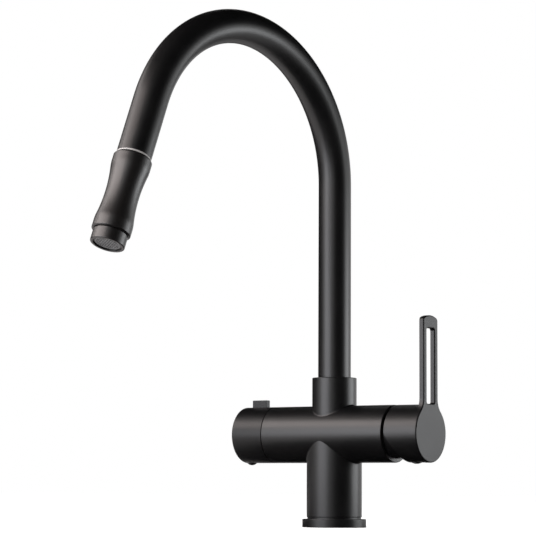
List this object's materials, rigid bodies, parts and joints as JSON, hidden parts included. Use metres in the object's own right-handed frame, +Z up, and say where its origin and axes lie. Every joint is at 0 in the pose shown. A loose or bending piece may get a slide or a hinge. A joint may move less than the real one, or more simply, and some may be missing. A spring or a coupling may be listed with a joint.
{
  "type": "pull-out kitchen mixer tap",
  "caption": "Black single-lever kitchen mixer with a high swivelling spout, a waisted pull-out spray and a side valve knob for an appliance.",
  "frame": {"origin": "centre of the two stud holes, on the flange's underside where it meets the deck", "axes": "+Z up, +X along the cross body towards the lever, -Y towards the sink"},
  "size_m": [0.1873, 0.3148, 0.426],
  "materials": {
    "black_finish": "satin black",
    "black_plastic": "satin black",
    "pale_plastic": "smooth",
    "white_plastic": "smooth",
    "mesh_plastic": "satin grey",
    "ceramic": "lapped",
    "brass": "machined",
    "copper": "drawn tube",
    "steel": "stainless",
    "rubber": "matt",
    "hose_braid": "braided"
  },
  "bodies": {
    "body": {"mixer_body": "black_finish", "base_flange": "black_finish", "base_gasket": "rubber", "hose_guide": "black_plastic", "hot_water_pipe": "copper", "cold_water_pipe": "copper", "mixed_water_pipe": "copper", "appliance_outlet_pipe": "copper", "appliance_feed_pipe": "copper", "cartridge_port_seals": "rubber", "cartridge_base": "pale_plastic", "fixed_ceramic_disc": "ceramic", "cartridge_housing": "white_plastic", "cartridge_nut": "brass", "dome_cover": "black_finish", "valve_seat_ring": "pale_plastic", "valve_headwork": "brass", "valve_fixed_disc": "ceramic", "swivel_lower_bush": "pale_plastic", "swivel_upper_bush": "pale_plastic", "swivel_stop_screw": "steel"},
    "spout": {"spout_tube": "black_finish", "spout_insert": "brass", "swivel_friction_ring": "rubber", "docking_sleeve": "pale_plastic", "spray_hose": "hose_braid", "hose_inlet_ferrule": "steel", "hose_inlet_nut": "brass", "check_valve_body": "white_plastic", "check_valve_spring": "steel"},
    "poppet": {"check_valve_poppet": "white_plastic"},
    "hose_end": {"hose_outlet_ferrule": "steel", "hose_outlet_nipple": "brass"},
    "spray": {"spray_shell": "black_plastic", "spray_core": "white_plastic", "hose_nut": "brass", "hose_washer": "rubber", "aerator_seal": "rubber", "aerator_housing": "black_plastic", "aerator_insert": "white_plastic", "aerator_mesh": "mesh_plastic"},
    "rotor": {"cartridge_rotor": "white_plastic", "lever_pin": "steel"},
    "lever": {"lever_handle": "black_finish", "cartridge_stem": "steel", "handle_grub_screw": "steel", "handle_screw_plug": "black_plastic"},
    "mix": {"moving_ceramic_disc": "ceramic", "disc_carrier": "white_plastic"},
    "knob": {"valve_knob": "black_finish", "valve_turning_disc": "ceramic", "valve_spindle": "brass", "spindle_rings": "rubber", "spindle_clip": "steel", "knob_grub_screw": "steel", "knob_screw_plug": "black_plastic"}
  },
  "joints": [
    {"name": "spout_swivel", "type": "hinge", "parent": "body", "child": "spout", "pos_m": [0, 0, 0.12], "axis": [0, 0, 1], "range_deg": [-54.3, 65.7]},
    {"name": "check_valve_lift", "type": "slide", "parent": "spout", "child": "poppet", "axis": [0, 0, 1], "range_m": [0, 0.002], "stiffness_N_per_m": 40, "springref_m": -0.0015, "deforming": ["check_valve_spring"]},
    {"name": "spray_pull", "type": "slide", "parent": "spout", "child": "hose_end", "axis": [-0.0362, -0.3631, -0.9311], "range_m": [0, 0.2], "stiffness_N_per_m": 8, "springref_m": -0.15},
    {"name": "spray_turn", "type": "hinge", "parent": "hose_end", "child": "spray", "pos_m": [-0.02465, -0.24699, 0.2894], "axis": [-0.0362, -0.3631, -0.9311], "continuous": true},
    {"name": "lever_temperature", "type": "hinge", "parent": "body", "child": "rotor", "pos_m": [0.06202, 0, 0.0788], "axis": [1, 0, 0], "range_deg": [-45, 45]},
    {"name": "lever_flow", "type": "hinge", "parent": "rotor", "child": "lever", "pos_m": [0.06202, 0, 0.0788], "axis": [0, 1, 0], "range_deg": [0, 25]},
    {"name": "mixing_disc_slide", "type": "slide", "parent": "rotor", "child": "mix", "axis": [0, 0, 1], "range_m": [0, 0.0038]},
    {"name": "valve_knob_turn", "type": "hinge", "parent": "body", "child": "knob", "pos_m": [-0.08, 0, 0.0788], "axis": [1, 0, 0], "range_deg": [0, 90]}
  ],
  "couplings": [
    {"joint": "mixing_disc_slide", "follows": "lever_flow", "m_per_rad": 0.0087171}
  ]
}
